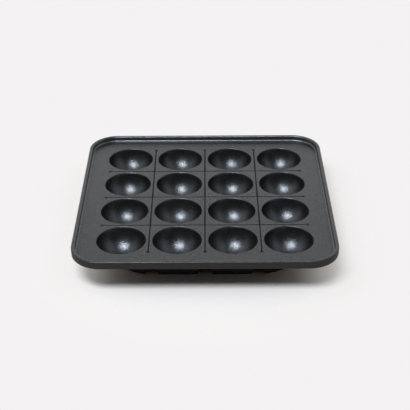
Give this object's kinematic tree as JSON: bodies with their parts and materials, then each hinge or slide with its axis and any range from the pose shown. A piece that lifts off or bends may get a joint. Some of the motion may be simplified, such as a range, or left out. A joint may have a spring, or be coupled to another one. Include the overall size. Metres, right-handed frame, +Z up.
{
  "type": "hot plate cooking plate",
  "caption": "Square non-stick cooking plate with a grid of round cups, grooves between them, a raised rim and a notched support skirt.",
  "frame": {"origin": "on the surface that the plate stands on, under the plate's centre", "axes": "+Z up, -Y towards the front edge, +X to the right; the plate is alike on all four sides"},
  "size_m": [0.2124, 0.2124, 0.0305],
  "materials": {
    "coated_casting": "satin black non-stick coating over cast aluminium"
  },
  "bodies": {
    "root": {"cup_a1": "coated_casting", "cup_a2": "coated_casting", "cup_a3": "coated_casting", "cup_a4": "coated_casting", "cup_b1": "coated_casting", "cup_b2": "coated_casting", "cup_b3": "coated_casting", "cup_b4": "coated_casting", "cup_c1": "coated_casting", "cup_c2": "coated_casting", "cup_c3": "coated_casting", "cup_c4": "coated_casting", "cup_d1": "coated_casting", "cup_d2": "coated_casting", "cup_d3": "coated_casting", "cup_d4": "coated_casting", "rim_front": "coated_casting", "rim_back": "coated_casting", "rim_left": "coated_casting", "rim_right": "coated_casting", "corner_front_left": "coated_casting", "corner_front_right": "coated_casting", "corner_back_left": "coated_casting", "corner_back_right": "coated_casting"}
  },
  "joints": []
}
